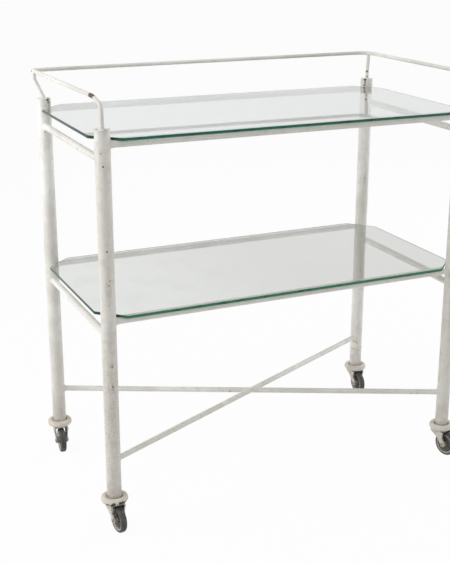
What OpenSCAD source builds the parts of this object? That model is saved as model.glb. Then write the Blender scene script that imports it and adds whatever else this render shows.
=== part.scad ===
// Serving trolley: a painted tube frame with two glass shelves, a rod gallery and four swivel castors.
// Millimetres. X runs along the long side, Y to the back, Z up.
// The origin is on the floor, under the middle of the whole trolley.

/* [Frame] */
// Distance between the leg centres along the trolley
leg_pitch_x = 770; // [500:5:1000]
// Distance between the leg centres across the trolley
leg_pitch_y = 377.5; // [300:0.5:550]
// Outer diameter of the leg tubes
leg_d = 28.6; // [25:0.1:35]
// Wall of the leg tubes
leg_wall = 1.6; // [1:0.1:2.5]
// Height of the leg tops above the floor
leg_top_z = 791; // [700:1:950]
// Outer diameter of the rails that join the legs
rail_d = 13.6; // [10:0.1:18]
// Wall of the rails
rail_wall = 1.5; // [1:0.1:2.5]
// How far the end rails lie below the front and back rails
end_rail_drop = 29.5; // [20:0.5:60]
// Extra radius of the brazing where a rail or brace meets a leg
braze_flare = 1.6; // [0.5:0.1:3]
// Length of that brazing along the rail
braze_l = 4.5; // [2:0.5:8]

/* [Brace] */
// Diameter of the crossed brace rods
brace_d = 10.4; // [7:0.1:14]
// Height of the brace rods' centre above the floor
brace_z = 146.6; // [110:0.1:300]
// Length of the brazing at the crossing, along each half brace
crossing_l = 18; // [12:1:30]

/* [Shelves] */
// How far the upper shelf's top face lies below the leg tops
upper_shelf_drop = 16.4; // [10:0.1:80]
// Height of the lower shelf's top face above the floor
lower_shelf_z = 442; // [300:1:550]
// Thickness of the glass plates
glass_t = 6; // [4:0.5:10]
// How far the glass reaches past the leg centres at each end
glass_over_end = 15; // [10:0.5:20]
// How far the glass reaches past the leg centres at the front and back
glass_over_side = 11.25; // [8:0.25:20]
// Gap between a clipped corner of the glass and the leg beside it
glass_leg_gap = 2.5; // [1:0.1:5]
// Radius that rounds off each point of the glass outline
glass_point_r = 7; // [2:0.5:12]
// Gap between the loose glass and the rails under it
glass_seat_gap = 0.3; // [0.1:0.1:0.5]

/* [Gallery] */
// Diameter of the gallery rod
gallery_d = 8; // [6:0.1:12]
// Height of the gallery rod's centre above the leg tops, on the left side
gallery_rise = 54; // [40:1:90]
// How much higher the back right corner stands
gallery_lift_back = 3; // [0:0.5:8]
// How much higher the front right bend stands
gallery_lift_front = 8; // [0:0.5:12]
// How far the back corners stand outside the leg centres
gallery_out = 14; // [8:0.5:25]
// How far the back rail stands behind the back leg centres
gallery_back = 26; // [18:0.5:40]
// Radius of the two front bends, from upright to rail
front_bend_r = 32; // [15:1:40]
// Radius of the back left corner
left_corner_r = 8; // [7:0.5:40]
// Radius of the back right corner
right_corner_r = 30; // [7:0.5:40]
// Radius of the two bends in each back support
joggle_r = 13; // [10:0.5:20]
// How far the supports drop straight from the rail before they turn in
joggle_drop = 16; // [14:0.5:25]
// How far each support stands in front of the back rail
support_inset = 13; // [9:0.5:25]
// Depth of the rod ends in the leg plugs
rod_seat = 12; // [8:0.5:20]

/* [Leg plugs] */
// Thickness of the flange that closes a front leg's top
cap_flange_t = 2.6; // [2:0.1:4]
// Length of the plug inside the tube
cap_l = 22; // [20:1:40]
// How far the brazing round the gallery rod spreads on a front leg's top
cap_braze_r = 2.4; // [1:0.1:5]
// Height of that brazing
cap_braze_h = 2.2; // [1:0.1:5]
// Width of the slot in a back leg's top
slot_w = 3; // [1:0.1:5]
// Length of that slot
slot_l = 13; // [8:0.5:16]
// Diameter of the notch at the slot's mouth
notch_d = 7; // [5:0.1:9]
// Depth of the slot, measured from the outside of the tube
slot_depth = 5; // [3:0.1:7]

/* [Castors] */
// Diameter over the tyre
wheel_d = 53.5; // [40:0.5:70]
// Width of the tyre
tyre_w = 12.6; // [10:0.1:18]
// Thickness of the rubber
tyre_t = 5; // [4:0.1:8]
// Radius of the tyre's shoulders
tyre_shoulder_r = 4; // [2:0.1:5]
// Distance from the swivel axis back to the axle
caster_trail = 16.5; // [12:0.5:24]
// Free height between the tyre and the top of the fork
fork_headroom = 5.5; // [5:0.1:16]
// Thickness of the fork's strip
fork_t = 3.6; // [2:0.1:4.5]
// Width over the fork at its crown
crown_w = 31.5; // [30:0.5:44]
// Length of the crown along the wheel's plane
crown_l = 34; // [24:0.5:40]
// Width of the cheeks at the neck below the crown
neck_w = 16; // [12:0.5:22]
// Height from the axle up to that neck
neck_rise = 15; // [12:0.5:20]
// Radius of the bends between crown and cheeks
crown_bend_r = 6; // [4:0.5:9]
// Radius of the round ends of the cheeks
cheek_end_r = 6; // [5.5:0.5:10]
// Diameter of the axle
axle_d = 6; // [5:0.1:8]
// Diameter of the axle's riveted heads
axle_head_d = 9; // [8:0.1:13]
// Height of the axle's riveted heads
axle_head_h = 1.8; // [1:0.1:4]
// Length of the wheel centre's boss
boss_l = 18.6; // [16:0.1:30]
// Diameter of that boss
boss_d = 13; // [11:0.5:16]
// Width of the wheel centre's rim
rim_w = 11.4; // [9:0.1:15]
// Thickness of that rim
rim_t = 2; // [1.5:0.1:3]
// Thickness of the web between boss and rim
web_t = 2.4; // [1.6:0.1:7]
// Play between the boss and each cheek of the fork
boss_play = 0.4; // [0.2:0.1:0.8]
// Radial clearance of the wheel on its axle and of the pin in its plug
running_gap = 0.05; // [0.02:0.01:0.09]
// Diameter of the swivel pin
pin_d = 10; // [8:0.1:12]
// Diameter of the swivel pin's riveted heads
pin_head_d = 14.5; // [13:0.1:17]
// Height of those heads
pin_head_h = 2; // [1.5:0.1:3]
// Play of the swivel pin along its axis
pin_play = 0.4; // [0.2:0.1:0.8]
// Thickness of the thrust washer
washer_t = 1.2; // [0.8:0.1:2.5]
// Outer diameter of the thrust washer
washer_d = 24; // [20:0.5:27]

/* [Foot] */
// Thickness of the flange under the leg tube
foot_flange_t = 5.6; // [4:0.1:8]
// How far that flange stands out past the leg tube
foot_flange_out = 2.2; // [1.5:0.1:3.5]
// Length of the foot plug inside the tube
foot_plug_l = 28; // [20:1:45]
// Radius of the buffer ring's round section
buffer_r = 6.5; // [5:0.1:8]
// Diameter over the buffer ring
buffer_d = 53.2; // [48:0.1:60]
// Gap between the buffer ring and the leg inside it
buffer_leg_gap = 0.4; // [0.2:0.1:1.5]
// Gap between the buffer ring and the fork
buffer_gap = 0.6; // [0.4:0.1:1.5]

/* [Castor positions] */
// Which way the front left wheel trails, counted from +X towards +Y
swivel_front_left = -83; // [-180:1:180]
// Which way the front right wheel trails
swivel_front_right = -75; // [-180:1:180]
// Which way the back left wheel trails
swivel_back_left = -96; // [-180:1:180]
// Which way the back right wheel trails
swivel_back_right = -91; // [-180:1:180]

/* [Hidden] */
$fn = 48;
smooth = 64;
over = 1; // how far a cutting tool reaches past what it cuts
bend_swell = 0.02; // a bend is this much thicker in radius than the straights it joins
bend_lap = 0.2; // how far the straights run on inside a bend
braze_lip = 0.5; // thickness that brazing runs out to along a rod

paint = "#e8e5dc";
paint_shade = "#dedad0";
glass_colour = [0.72, 0.85, 0.8, 0.45];
cream_rubber = "#ddd5c8";
tyre_colour = "#3f3f40";
bare_steel = "#a7a6a3";

// Corners of the trolley: x side, y side and the way the wheel trails
front_left = [-1, -1, swivel_front_left];
front_right = [1, -1, swivel_front_right];
back_left = [-1, 1, swivel_back_left];
back_right = [1, 1, swivel_back_right];

// The wheels reach out in front and the gallery behind, so the legs stand a little off the middle
front_reach = leg_pitch_y / 2 + caster_trail + wheel_d / 2;
back_reach = leg_pitch_y / 2 + gallery_back + gallery_d / 2;
mid_y = (front_reach - back_reach) / 2;
function leg_xy(c) = [c.x * leg_pitch_x / 2, c.y * leg_pitch_y / 2 + mid_y];
function at(c, z) = [leg_xy(c).x, leg_xy(c).y, z];

upper_shelf_z = leg_top_z - upper_shelf_drop;
leg_r = leg_d / 2;
bore_r = leg_r - leg_wall;
rail_r = rail_d / 2;
brace_r = brace_d / 2;

// Castor heights, from the floor up
axle_z = wheel_d / 2;
crown_z = wheel_d + fork_headroom;
foot_z = crown_z + washer_t;
leg_z = foot_z + foot_flange_t;
buffer_z = crown_z + buffer_gap + buffer_r;
foot_flange_r = leg_r + foot_flange_out;
foot_top_z = leg_z + foot_plug_l;

// Castor widths, from the wheel outwards
cheek_in = boss_l / 2 + boss_play;
cheek_out = cheek_in + fork_t;
hub_r = wheel_d / 2 - tyre_t;
cheek_straight_z = axle_z + cheek_end_r + 1.5;

// Glass outline
glass_x = leg_pitch_x / 2 + glass_over_end;
glass_y = leg_pitch_y / 2 + glass_over_side;
glass_clip = glass_over_end + glass_over_side + sqrt(2) * (leg_r + glass_leg_gap);

// Gallery corners
gallery_z = leg_top_z + gallery_rise;
gallery_x = leg_pitch_x / 2 + gallery_out;
gallery_y = leg_pitch_y / 2 + gallery_back + mid_y;
rod_end_z = leg_top_z - rod_seat;
gallery_points = [
  at(front_left, rod_end_z),
  at(front_left, gallery_z),
  [-gallery_x, gallery_y, gallery_z],
  [gallery_x, gallery_y, gallery_z + gallery_lift_back],
  at(front_right, gallery_z + gallery_lift_front),
  at(front_right, rod_end_z)
];
gallery_radii = [0, front_bend_r, left_corner_r, right_corner_r, front_bend_r, 0];

function unit(v) = v / norm(v);
function turn(p, i) = acos(unit(p[i] - p[i - 1]) * unit(p[i + 1] - p[i]));

// Distance from corner i to where a straight run ends, a little way inside the bend
function run_in(p, r, i) = r[i] == 0 ? 0 : r[i] * tan(turn(p, i) / 2) - bend_lap;

// Straight round rod from a to b
module rod(a, b, d) {
  v = b - a;
  translate(a)
    rotate([0, acos(v.z / norm(v)), atan2(v.y, v.x)])
      cylinder(h = norm(v), d = d);
}

// Round bend of radius r at corner p, from direction u to direction v
module rod_bend(p, u, v, r, d) {
  angle = acos(u * v);
  centre = p + unit(v - u) * r / cos(angle / 2);
  out = unit(p - u * r * tan(angle / 2) - centre);
  axis = cross(out, u);
  multmatrix([
    [out.x, u.x, axis.x, centre.x],
    [out.y, u.y, axis.y, centre.y],
    [out.z, u.z, axis.z, centre.z]
  ])
    rotate_extrude(angle = angle, $fn = smooth * 2)
      translate([r, 0])
        circle(d = d + 2 * bend_swell);
}

// Rod bent along the points p, with the radius r[i] at point i
module bent_rod(p, r, d) {
  last = len(p) - 1;
  for (i = [0 : last - 1]) {
    u = unit(p[i + 1] - p[i]);
    rod(p[i] + u * run_in(p, r, i), p[i + 1] - u * run_in(p, r, i + 1), d);
  }
  for (i = [1 : last - 1])
    rod_bend(p[i], unit(p[i] - p[i - 1]), unit(p[i + 1] - p[i]), r[i], d);
}

// Slot and notch in the inner front side of a back leg's top
module slot_space(c)
  translate(at(c, leg_top_z))
    rotate([0, 0, c.x < 0 ? -45 : -135])
      translate([leg_r - slot_depth, 0, 0]) {
        translate([0, -slot_w / 2, -slot_l])
          cube([slot_depth + over, slot_w, slot_l + over]);
        rotate([0, 90, 0])
          cylinder(h = slot_depth + over, d = notch_d);
      }

module leg(c)
  color(paint)
    difference() {
      translate(at(c, leg_z))
        cylinder(h = leg_top_z - leg_z, r = leg_r, $fn = smooth);
      translate(at(c, leg_z - over))
        cylinder(h = leg_top_z - leg_z + 2 * over, r = bore_r, $fn = smooth);
      if (c.y > 0)
        slot_space(c);
      if (c.y < 0)
        translate(at(c, leg_top_z - cap_flange_t))
          cylinder(h = cap_flange_t + over, r = leg_r + over, $fn = smooth);
    }

// Front plugs have a flange of the tube's own diameter, with the rod's brazing on top
// Back plugs lie inside the slotted tube
module leg_cap(c)
  color(paint_shade)
    difference() {
      union() {
        translate(at(c, leg_top_z - cap_l))
          cylinder(h = cap_l, r = bore_r, $fn = smooth);
        if (c.y < 0) {
          chamfer = cap_flange_t / 4;
          translate(at(c, leg_top_z - cap_flange_t))
            cylinder(h = cap_flange_t - chamfer, r = leg_r, $fn = smooth);
          translate(at(c, leg_top_z - chamfer))
            cylinder(h = chamfer, r1 = leg_r, r2 = leg_r - chamfer, $fn = smooth);
          toe_r = gallery_d / 2 + cap_braze_r;
          translate(at(c, leg_top_z))
            cylinder(h = cap_braze_h, r1 = toe_r, r2 = gallery_d / 2 + braze_lip);
        }
      }
      translate(at(c, rod_end_z))
        cylinder(h = rod_seat + cap_braze_h + over, d = gallery_d);
      if (c.y > 0)
        slot_space(c);
    }

module gallery()
  color(paint)
    bent_rod(gallery_points, gallery_radii, gallery_d);

// Joggled rod from a point on the gallery's centre line down into a back leg
module joggled_rod(c, top) {
  turn_in = [top.x, top.y, top.z - joggle_drop];
  seat = at(c, leg_top_z + 2);
  bent_rod([top, turn_in, seat, at(c, rod_end_z)], [0, joggle_r, joggle_r, 0], gallery_d);
}

// The left support meets the side rail just in front of the tight back corner
module left_support()
  color(paint)
    difference() {
      corner = gallery_points[2];
      forward = unit(gallery_points[1] - corner);
      joggled_rod(back_left, corner + forward * support_inset);
      rod(corner, corner + 3 * forward * support_inset, gallery_d);
    }

// The right support meets the wide back corner in the middle of its bend
module right_support()
  color(paint)
    difference() {
      corner = gallery_points[3];
      u = unit(corner - gallery_points[2]);
      v = unit(gallery_points[4] - corner);
      inward = unit(v - u) * right_corner_r * (1 / cos(acos(u * v) / 2) - 1);
      joggled_rod(back_right, corner + inward);
      rod_bend(corner, u, v, right_corner_r, gallery_d);
    }

// Leg's space at height z of a rod drawn along Z, with the seam of its surface away from the rod
module coping(z, side)
  translate([0, 0, z])
    rotate([0, side * 90, 0])
      cylinder(h = 4 * leg_r, r = leg_r, center = true, $fn = smooth);

// Level rod or tube from a leg's middle at a to b, where another leg or the crossing of the braces is
// It swells into the brazing at both ends and is coped to the legs
module brazed_rod(a, b, r, bore = 0, to_leg = true) {
  v = b - a;
  l = norm(v);
  swollen = r + braze_flare;
  end_z = l - (to_leg ? leg_r : brace_r);
  end_cone_l = to_leg ? braze_l : crossing_l;
  translate(a)
    rotate([0, 90, atan2(v.y, v.x)])
      difference() {
        rotate_extrude()
          polygon([
            [bore, 0], [swollen, 0], [swollen, leg_r], [r, leg_r + braze_l],
            [r, end_z - end_cone_l], [swollen, end_z], [swollen, l], [bore, l]
          ]);
        coping(0, 1);
        if (to_leg)
          coping(l, -1);
      }
}

// Rail under the front or back edge of a shelf whose top face is at z
module long_rail(side, z) {
  rail_z = z - glass_t - glass_seat_gap - rail_r;
  color(paint)
    brazed_rod(at([-1, side], rail_z), at([1, side], rail_z), rail_r, rail_r - rail_wall);
}

// Rail across one end of a shelf whose top face is at z
module end_rail(side, z) {
  rail_z = z - glass_t - glass_seat_gap - rail_r - end_rail_drop;
  color(paint)
    brazed_rod(at([side, -1], rail_z), at([side, 1], rail_z), rail_r, rail_r - rail_wall);
}

module brace_long()
  color(paint)
    brazed_rod(at(back_left, brace_z), at(front_right, brace_z), brace_r);

// A half brace ends against the long brace, which passes the crossing whole
module brace_half(c)
  color(paint)
    difference() {
      brazed_rod(at(c, brace_z), [0, mid_y, brace_z], brace_r, to_leg = false);
      rod(at(back_left, brace_z), at(front_right, brace_z), brace_d);
    }

// Points of an arc that rounds corner p between its neighbours a and b
function round_point(a, p, b, r, steps = 4) =
  let (
    u = unit(a - p),
    v = unit(b - p),
    half = acos(u * v) / 2,
    centre = p + unit(u + v) * r / sin(half),
    from = p + u * r / tan(half) - centre,
    to = p + v * r / tan(half) - centre,
    sweep = acos(unit(from) * unit(to))
  )
  [for (i = [0 : steps])
    centre + (from * sin(sweep * (1 - i / steps)) + to * sin(sweep * i / steps)) / sin(sweep)];

function round_outline(p, r) =
  [for (i = [0 : len(p) - 1])
    each round_point(p[(i + len(p) - 1) % len(p)], p[i], p[(i + 1) % len(p)], r)];

// Rectangle with its four corners clipped at 45 degrees
function clipped(x, y, clip) = [
  [x, y - clip], [x - clip, y], [clip - x, y], [-x, y - clip],
  [-x, clip - y], [clip - x, -y], [x - clip, -y], [x, clip - y]
];

module shelf_glass(z)
  color(glass_colour)
    translate([0, mid_y, z - glass_t])
      linear_extrude(glass_t)
        polygon(round_outline(clipped(glass_x, glass_y, glass_clip), glass_point_r));

// Leg plug at the bottom, with the flange that carries the buffer ring
module foot_plug(c)
  color(bare_steel)
    difference() {
      union() {
        translate(at(c, foot_z))
          cylinder(h = foot_flange_t, r = foot_flange_r, $fn = smooth);
        translate(at(c, leg_z))
          cylinder(h = foot_plug_l, r = bore_r, $fn = smooth);
      }
      translate(at(c, foot_z - over))
        cylinder(h = foot_plug_l + foot_flange_t + 2 * over, r = pin_d / 2 + running_gap);
    }

// Round rubber ring, stepped inside: it sits on the foot's flange and hugs the leg above it
module buffer(c) {
  bottom_z = buffer_z - buffer_r - over;
  color(cream_rubber)
    difference() {
      translate(at(c, buffer_z))
        rotate_extrude($fn = smooth)
          translate([buffer_d / 2 - buffer_r, 0])
            circle(r = buffer_r);
      translate(at(c, bottom_z))
        cylinder(h = leg_z - bottom_z, r = foot_flange_r, $fn = smooth);
      translate(at(c, bottom_z))
        cylinder(h = 2 * (buffer_r + over), r = leg_r + buffer_leg_gap, $fn = smooth);
    }
}

// Castor frame: the swivel axis is Z and the wheel trails along X
module castor(c)
  translate(at(c, 0))
    rotate([0, 0, c.z])
      children();

module washer(c)
  color(bare_steel)
    castor(c)
      translate([0, 0, crown_z])
        difference() {
          cylinder(h = washer_t, d = washer_d);
          translate([0, 0, -over])
            cylinder(h = washer_t + 2 * over, r = pin_d / 2);
        }

module swivel_pin(c)
  color(bare_steel)
    castor(c) {
      under = crown_z - fork_t;
      translate([0, 0, under - pin_head_h])
        cylinder(h = pin_head_h, r1 = pin_head_d / 2 - 1.5, r2 = pin_head_d / 2);
      translate([0, 0, under])
        cylinder(h = foot_top_z + pin_play - under, d = pin_d);
      translate([0, 0, foot_top_z + pin_play])
        cylinder(h = pin_head_h, r1 = pin_head_d / 2, r2 = pin_head_d / 2 - 1.5);
    }

// Half of the fork's section, from the crown's middle to the foot of the cheek, shifted in by inset
function fork_half(inset) =
  let (
    r = crown_bend_r - inset,
    top = crown_z - inset,
    wide = crown_w / 2 - inset,
    low = cheek_out - inset,
    lean = atan2(crown_w / 2 - cheek_out, crown_z - crown_bend_r - cheek_straight_z),
    bend_y = wide - r,
    bend_z = top - r
  )
  concat(
    [for (a = [90 : -10 : -lean + 5]) [bend_y + r * cos(a), bend_z + r * sin(a)]],
    [[bend_y + r * cos(-lean), bend_z + r * sin(-lean)]],
    [[low, cheek_straight_z], [low, axle_z - cheek_end_r - over]]
  );

function reversed(p) = [for (i = [len(p) - 1 : -1 : 0]) p[i]];
function both_halves(p) = concat([for (q = reversed(p)) [-q.x, q.y]], p);

module fork_section()
  polygon(concat(both_halves(fork_half(0)), reversed(both_halves(fork_half(fork_t)))));

// Side view of the fork: a broad crown, a neck and the round ends of the cheeks at the axle
module fork_side() {
  eaves_z = crown_z - crown_bend_r;
  neck_z = axle_z + neck_rise;
  neck_x = caster_trail * (eaves_z - neck_z) / (eaves_z - axle_z);
  neck = [[neck_x - neck_w / 2, neck_z], [neck_x + neck_w / 2, neck_z]];
  axle = [caster_trail, axle_z];
  polygon([
    [-crown_l / 2, crown_z + over],
    [-crown_l / 2, eaves_z],
    neck[0],
    tangent_point(neck[0], axle, cheek_end_r, 1),
    axle,
    tangent_point(neck[1], axle, cheek_end_r, -1),
    neck[1],
    [crown_l / 2, eaves_z],
    [crown_l / 2, crown_z + over]
  ]);
  translate(axle)
    circle(r = cheek_end_r);
}

// Where the line from p touches the circle of radius r round c, on the given side
function tangent_point(p, c, r, side) =
  let (
    d = c - p,
    reach = norm(d),
    base = atan2(-d.y, -d.x),
    open = acos(r / reach)
  )
  c + r * [cos(base + side * open), sin(base + side * open)];

module fork(c)
  color(paint_shade)
    castor(c)
      difference() {
        intersection() {
          translate([-caster_trail - crown_l, 0, 0])
            rotate([90, 0, 90])
              linear_extrude(2 * (caster_trail + crown_l))
                fork_section();
          translate([0, crown_w, 0])
            rotate([90, 0, 0])
              linear_extrude(2 * crown_w)
                fork_side();
        }
        translate([0, 0, crown_z - fork_t - over])
          cylinder(h = fork_t + 2 * over, d = pin_d);
        translate([caster_trail, crown_w, axle_z])
          rotate([90, 0, 0])
            cylinder(h = 2 * crown_w, d = axle_d);
      }

// Everything on the axle is drawn along Z and turned to lie across the fork
module on_axle(c)
  castor(c)
    translate([caster_trail, 0, axle_z])
      rotate([90, 0, 0])
        children();

module axle(c)
  color(bare_steel)
    on_axle(c) {
      cylinder(h = 2 * cheek_out, d = axle_d, center = true);
      for (side = [0, 1])
        mirror([0, 0, side])
          translate([0, 0, cheek_out])
            cylinder(h = axle_head_h, r1 = axle_head_d / 2, r2 = axle_head_d / 3);
    }

module hub(c)
  color(bare_steel)
    on_axle(c)
      difference() {
        union() {
          cylinder(h = boss_l, d = boss_d, center = true);
          cylinder(h = web_t, r = hub_r, center = true, $fn = smooth);
          difference() {
            cylinder(h = rim_w, r = hub_r, center = true, $fn = smooth);
            cylinder(h = rim_w + 2 * over, r = hub_r - rim_t, center = true, $fn = smooth);
          }
        }
        cylinder(h = boss_l + 2 * over, r = axle_d / 2 + running_gap, center = true);
      }

module tyre(c)
  color(tyre_colour)
    on_axle(c)
      rotate_extrude($fn = smooth) {
        outer = wheel_d / 2;
        r = tyre_shoulder_r;
        difference() {
          union() {
            translate([hub_r, -tyre_w / 2])
              square([outer - r - hub_r, tyre_w]);
            translate([hub_r, r - tyre_w / 2])
              square([outer - hub_r, tyre_w - 2 * r]);
            for (side = [-1, 1])
              translate([outer - r, side * (tyre_w / 2 - r)])
                circle(r = r);
          }
          translate([0, -tyre_w])
            square([hub_r, 2 * tyre_w]);
        }
      }

leg(front_left);  // leg_front_left
leg(front_right);  // leg_front_right
leg(back_left);  // leg_back_left
leg(back_right);  // leg_back_right
leg_cap(front_left);  // cap_front_left
leg_cap(front_right);  // cap_front_right
leg_cap(back_left);  // cap_back_left
leg_cap(back_right);  // cap_back_right
gallery();  // gallery_rail
left_support();  // gallery_support_left
right_support();  // gallery_support_right
long_rail(-1, upper_shelf_z);  // upper_front_rail
long_rail(1, upper_shelf_z);  // upper_back_rail
end_rail(-1, upper_shelf_z);  // upper_left_rail
end_rail(1, upper_shelf_z);  // upper_right_rail
long_rail(-1, lower_shelf_z);  // lower_front_rail
long_rail(1, lower_shelf_z);  // lower_back_rail
end_rail(-1, lower_shelf_z);  // lower_left_rail
end_rail(1, lower_shelf_z);  // lower_right_rail
brace_long();
brace_half(front_left);  // brace_half_front
brace_half(back_right);  // brace_half_back
shelf_glass(upper_shelf_z);  // upper_glass
shelf_glass(lower_shelf_z);  // lower_glass
foot_plug(front_left);  // foot_front_left
foot_plug(front_right);  // foot_front_right
foot_plug(back_left);  // foot_back_left
foot_plug(back_right);  // foot_back_right
buffer(front_left);  // buffer_front_left
buffer(front_right);  // buffer_front_right
buffer(back_left);  // buffer_back_left
buffer(back_right);  // buffer_back_right
washer(front_left);  // washer_front_left
washer(front_right);  // washer_front_right
washer(back_left);  // washer_back_left
washer(back_right);  // washer_back_right
swivel_pin(front_left);  // pin_front_left
swivel_pin(front_right);  // pin_front_right
swivel_pin(back_left);  // pin_back_left
swivel_pin(back_right);  // pin_back_right
fork(front_left);  // fork_front_left
fork(front_right);  // fork_front_right
fork(back_left);  // fork_back_left
fork(back_right);  // fork_back_right
axle(front_left);  // axle_front_left
axle(front_right);  // axle_front_right
axle(back_left);  // axle_back_left
axle(back_right);  // axle_back_right
hub(front_left);  // hub_front_left
hub(front_right);  // hub_front_right
hub(back_left);  // hub_back_left
hub(back_right);  // hub_back_right
tyre(front_left);  // tyre_front_left
tyre(front_right);  // tyre_front_right
tyre(back_left);  // tyre_back_left
tyre(back_right);  // tyre_back_right
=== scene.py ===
from math import acos, atan2, cos, degrees, hypot, pi, radians, sin, sqrt, tan

import bmesh
import bpy
from mathutils import Matrix, Vector, noise


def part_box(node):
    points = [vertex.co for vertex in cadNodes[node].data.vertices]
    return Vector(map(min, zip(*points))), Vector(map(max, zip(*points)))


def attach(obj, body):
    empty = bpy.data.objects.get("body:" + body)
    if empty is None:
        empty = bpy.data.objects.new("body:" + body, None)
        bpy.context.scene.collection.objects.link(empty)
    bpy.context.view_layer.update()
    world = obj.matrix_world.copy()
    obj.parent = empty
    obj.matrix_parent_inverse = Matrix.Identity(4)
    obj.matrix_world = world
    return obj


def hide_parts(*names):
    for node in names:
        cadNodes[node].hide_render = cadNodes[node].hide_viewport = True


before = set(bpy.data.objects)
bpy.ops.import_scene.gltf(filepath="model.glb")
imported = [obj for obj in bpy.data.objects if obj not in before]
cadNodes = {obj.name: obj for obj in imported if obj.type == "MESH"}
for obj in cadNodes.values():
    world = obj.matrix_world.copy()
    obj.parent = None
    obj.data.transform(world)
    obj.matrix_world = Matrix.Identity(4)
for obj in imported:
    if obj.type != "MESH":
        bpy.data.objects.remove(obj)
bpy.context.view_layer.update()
corners = ["front_left", "front_right", "back_left", "back_right"]


def middle(node):
    low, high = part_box(node)
    return (low + high) / 2


legAt = {corner: middle("leg_" + corner).xy for corner in corners}
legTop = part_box("leg_back_left")[1].z
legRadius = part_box("leg_back_left")[1].x - legAt["back_left"].x


class Socket:  # a node's output that can be used in an expression
    def __init__(self, shader, output):
        self.shader = shader
        self.output = output

    def math(self, operation, *values):
        return self.shader.node("ShaderNodeMath", {"operation": operation}, dict(enumerate(values)))

    def __add__(self, other):
        return self.math("ADD", self, other)

    def __radd__(self, other):
        return self.math("ADD", other, self)

    def __sub__(self, other):
        return self.math("SUBTRACT", self, other)

    def __rsub__(self, other):
        return self.math("SUBTRACT", other, self)

    def __mul__(self, other):
        return self.math("MULTIPLY", self, other)

    def __rmul__(self, other):
        return self.math("MULTIPLY", other, self)

    def __abs__(self):
        return self.math("ABSOLUTE", self)

    def larger(self, other):
        return self.math("MAXIMUM", self, other)


class Shader:  # adds nodes to the tree of a material or of the world
    def __init__(self, owner, surface="Principled BSDF"):
        owner.use_nodes = True
        self.owner = owner
        self.nodes = owner.node_tree.nodes
        self.links = owner.node_tree.links
        self.surface = self.nodes[surface]

    def node(self, kind, settings=None, values=None, output=0):
        made = self.nodes.new(kind)
        for key, value in (settings or {}).items():
            setattr(made, key, value)
        for key, value in (values or {}).items():
            if isinstance(value, Socket):
                self.links.new(value.output, made.inputs[key])
            else:
                made.inputs[key].default_value = value
        return Socket(self, made.outputs[output])

    def set(self, **values):  # constants and links on the surface's own sockets
        for key, value in values.items():
            key = key.replace("_", " ")
            if isinstance(value, Socket):
                self.links.new(value.output, self.surface.inputs[key])
            else:
                self.surface.inputs[key].default_value = value

    def place(self):
        return self.node("ShaderNodeTexCoord", output="Object")

    def part(self, place, axis):
        return self.node("ShaderNodeSeparateXYZ", None, {0: place}, axis)

    def vector(self, operation, values, output=0):
        return self.node("ShaderNodeVectorMath", {"operation": operation}, values, output)

    def stretched(self, place, scale):
        return self.vector("MULTIPLY", {0: place, 1: scale})

    def distance(self, place, point):
        return self.vector("DISTANCE", {0: place, 1: point}, "Value")

    def ragged(self, place, scale, size):  # gives spots an uneven outline
        values = {"Vector": place, "Scale": scale, "Detail": 2.0}
        wobble = self.node("ShaderNodeTexNoise", None, values, "Color")
        shift = self.vector("SUBTRACT", {0: wobble, 1: (0.5, 0.5, 0.5)})
        shift = self.vector("SCALE", {0: shift, "Scale": size})
        return self.vector("ADD", {0: place, 1: shift})

    def attribute(self, name):
        return self.node("ShaderNodeAttribute", {"attribute_name": name}, None, "Fac")

    def noise(self, place, scale, detail, rough=0.55):
        values = {"Vector": place, "Scale": scale, "Detail": detail, "Roughness": rough}
        return self.node("ShaderNodeTexNoise", None, values)

    def mix(self, factor, first, second):
        return self.node("ShaderNodeMix", {"data_type": "RGBA"}, {0: factor, 6: first, 7: second}, 2)

    def ramp(self, value, low, high, start=0.0, end=1.0):
        values = {"Value": value, "From Min": low, "From Max": high, "To Min": start, "To Max": end}
        return self.node("ShaderNodeMapRange", {"interpolation_type": "SMOOTHSTEP"}, values)

    def bump(self, height, strength, distance):
        values = {"Height": height, "Strength": strength, "Distance": distance}
        return self.node("ShaderNodeBump", None, values)

    def swapSurface(self, other, factor, end):  # another shader takes over as the factor rises
        own = Socket(self, self.surface.outputs[0])
        mixed = self.node("ShaderNodeMixShader", None, {0: factor, 1: own, 2: other})
        self.links.new(mixed.output, self.nodes[end].inputs["Surface"])


def tone(red, green, blue):
    return (red, green, blue, 1.0)


# Paint on the frame: stained off-white, with chips down to the primer and the steel, and painted light that
# makes the back parts lighter

enamelLook = {
    "light": tone(0.76, 0.745, 0.70),
    # the lighter back tone is painted light
    "litBack": tone(0.89, 0.88, 0.845),
    "dull": tone(0.70, 0.68, 0.625),
    "stain": tone(0.55, 0.50, 0.42),
    "darkening": tone(0.47, 0.40, 0.35),
    "mudAndShade": tone(0.33, 0.27, 0.20),
    "primer": tone(0.42, 0.36, 0.30),
    "rust": tone(0.060, 0.036, 0.026),
    "patchScale": 7.0,
    "mottleScale": 60.0,
    "mottle": 0.38,
    "blotchScale": 130.0,
    "blotch": 0.30,
    "grain": (1.0, 1.0, 0.40),
    "runScale": 240.0,
    "runStretch": (1.0, 1.0, 0.10),
    "runs": 0.10,
    "gritScale": 380.0,
    "fineScale": 900.0,
    "raggedScale": 420.0,
    "raggedSize": 0.0030,
    "litBackFrom": -0.15,
    "litBackTo": 0.19,
    "litBackCalm": 0.45,
    "darkTop": 0.16,
    "darkFull": 0.075,
    "darkDepth": 0.55,
    "chipCells": 30.0,
    "chipShare": 0.93,
    "seamReach": 0.020,
    "seamWidth": 0.0006,
    "seamDepth": 0.75,
    "bumpStrength": 0.22,
    "bumpDistance": 0.0006,
}
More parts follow.
